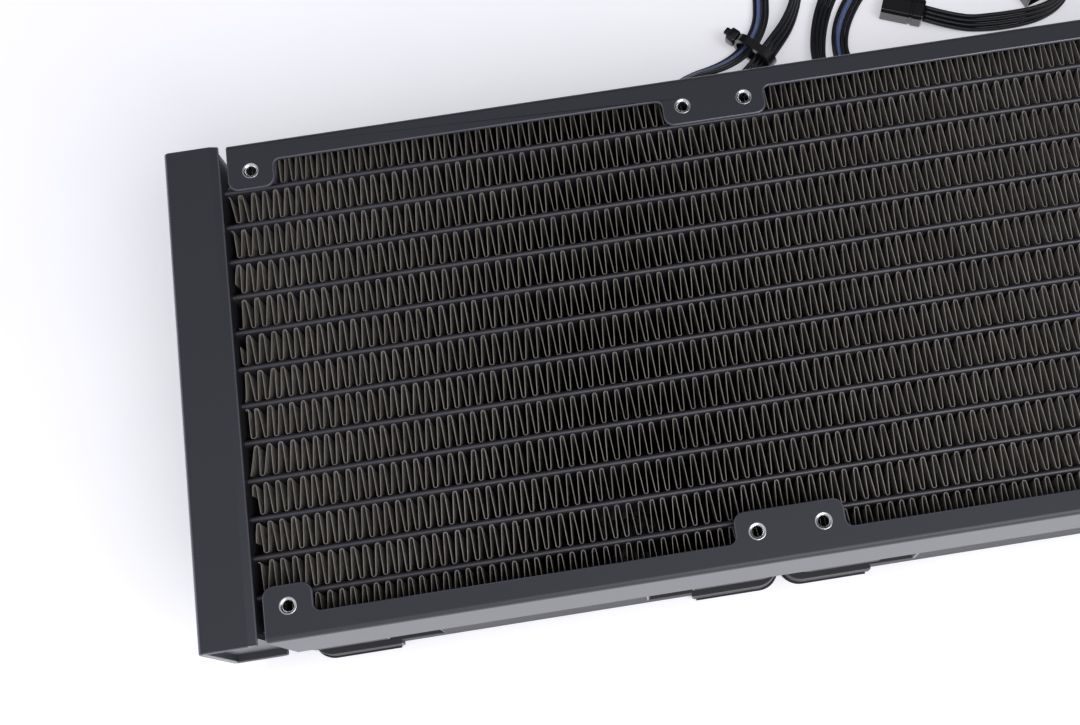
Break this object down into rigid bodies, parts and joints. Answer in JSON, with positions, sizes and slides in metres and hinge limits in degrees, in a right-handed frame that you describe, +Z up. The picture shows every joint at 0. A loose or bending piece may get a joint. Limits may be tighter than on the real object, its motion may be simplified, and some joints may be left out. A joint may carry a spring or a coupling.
{
  "type": "liquid cooling radiator",
  "caption": "flat-tube liquid cooling radiator with two end tanks, tabbed side rails and 120 mm fans under its core",
  "frame": {"origin": "bottom centre of the radiator and its fans, without the leads", "axes": "X along the radiator from the plain tank to the port tank, Y across it towards the leads, Z up from the fans to the core"},
  "size_m": [0.412, 0.2056, 0.052],
  "materials": {
    "black_powder_coat": "satin black powder coat",
    "fan_plastic": "black moulded plastic",
    "pad_rubber": "soft black rubber",
    "rotor_plastic": "black moulded plastic",
    "magnet": "bonded magnet",
    "steel": "ground steel",
    "bronze": "sintered bronze",
    "board": "green circuit board",
    "stator_steel": "laminated steel and enamelled wire",
    "screw_steel": "black zinc",
    "lead_jacket": "flat four-wire lead, black with one blue wire on the light leads",
    "plug_plastic": "black nylon",
    "grommet_rubber": "soft black rubber",
    "tie_nylon": "black nylon",
    "port_metal": "turned aluminium",
    "plug_metal": "black coated",
    "seal_rubber": "black rubber",
    "fin_metal": "thin black coat over aluminium, worn to grey-brown at the edges",
    "tube_metal": "black coated aluminium",
    "core_metal": "black coated aluminium"
  },
  "bodies": {
    "root": {"cable_tie": "tie_nylon", "coolant_ports": "port_metal", "core_side_plates": "core_metal", "fan_1_bearing_sleeve": "bronze", "fan_1_circuit_board": "board", "fan_1_corner_pads": "pad_rubber", "fan_1_frame": "fan_plastic", "fan_1_light_lead": "lead_jacket", "fan_1_light_lead_plug": "plug_plastic", "fan_1_motor_lead": "lead_jacket", "fan_1_motor_lead_plug": "plug_plastic", "fan_1_stator": "stator_steel", "fan_2_bearing_sleeve": "bronze", "fan_2_circuit_board": "board", "fan_2_corner_pads": "pad_rubber", "fan_2_frame": "fan_plastic", "fan_2_light_lead": "lead_jacket", "fan_2_light_lead_plug": "plug_plastic", "fan_2_motor_lead": "lead_jacket", "fan_2_motor_lead_plug": "plug_plastic", "fan_2_stator": "stator_steel", "fan_3_bearing_sleeve": "bronze", "fan_3_circuit_board": "board", "fan_3_corner_pads": "pad_rubber", "fan_3_frame": "fan_plastic", "fan_3_light_lead": "lead_jacket", "fan_3_light_lead_plug": "plug_plastic", "fan_3_motor_lead": "lead_jacket", "fan_3_motor_lead_plug": "plug_plastic", "fan_3_stator": "stator_steel", "fan_screws": "screw_steel", "fill_plug": "plug_metal", "fill_plug_seal": "seal_rubber", "fin_strips": "fin_metal", "flat_tubes": "tube_metal", "front_rail": "black_powder_coat", "lead_grommets": "grommet_rubber", "plain_header_plate": "core_metal", "plain_tank": "black_powder_coat", "port_header_plate": "core_metal", "port_tank": "black_powder_coat", "rear_rail": "black_powder_coat", "tank_divider": "core_metal", "tank_end_plates": "black_powder_coat"},
    "fan_1_spinner": {"fan_1_rotor": "rotor_plastic", "fan_1_magnet_ring": "magnet", "fan_1_shaft": "steel"},
    "fan_2_spinner": {"fan_2_rotor": "rotor_plastic", "fan_2_magnet_ring": "magnet", "fan_2_shaft": "steel"},
    "fan_3_spinner": {"fan_3_rotor": "rotor_plastic", "fan_3_magnet_ring": "magnet", "fan_3_shaft": "steel"}
  },
  "joints": [
    {"name": "fan_1_spin", "type": "hinge", "parent": "root", "child": "fan_1_spinner", "pos_m": [-0.1328, 0, 0.012], "axis": [0, 0, 1], "continuous": true},
    {"name": "fan_2_spin", "type": "hinge", "parent": "root", "child": "fan_2_spinner", "pos_m": [-0.0128, 0, 0.012], "axis": [0, 0, 1], "continuous": true},
    {"name": "fan_3_spin", "type": "hinge", "parent": "root", "child": "fan_3_spinner", "pos_m": [0.1072, 0, 0.012], "axis": [0, 0, 1], "continuous": true}
  ]
}
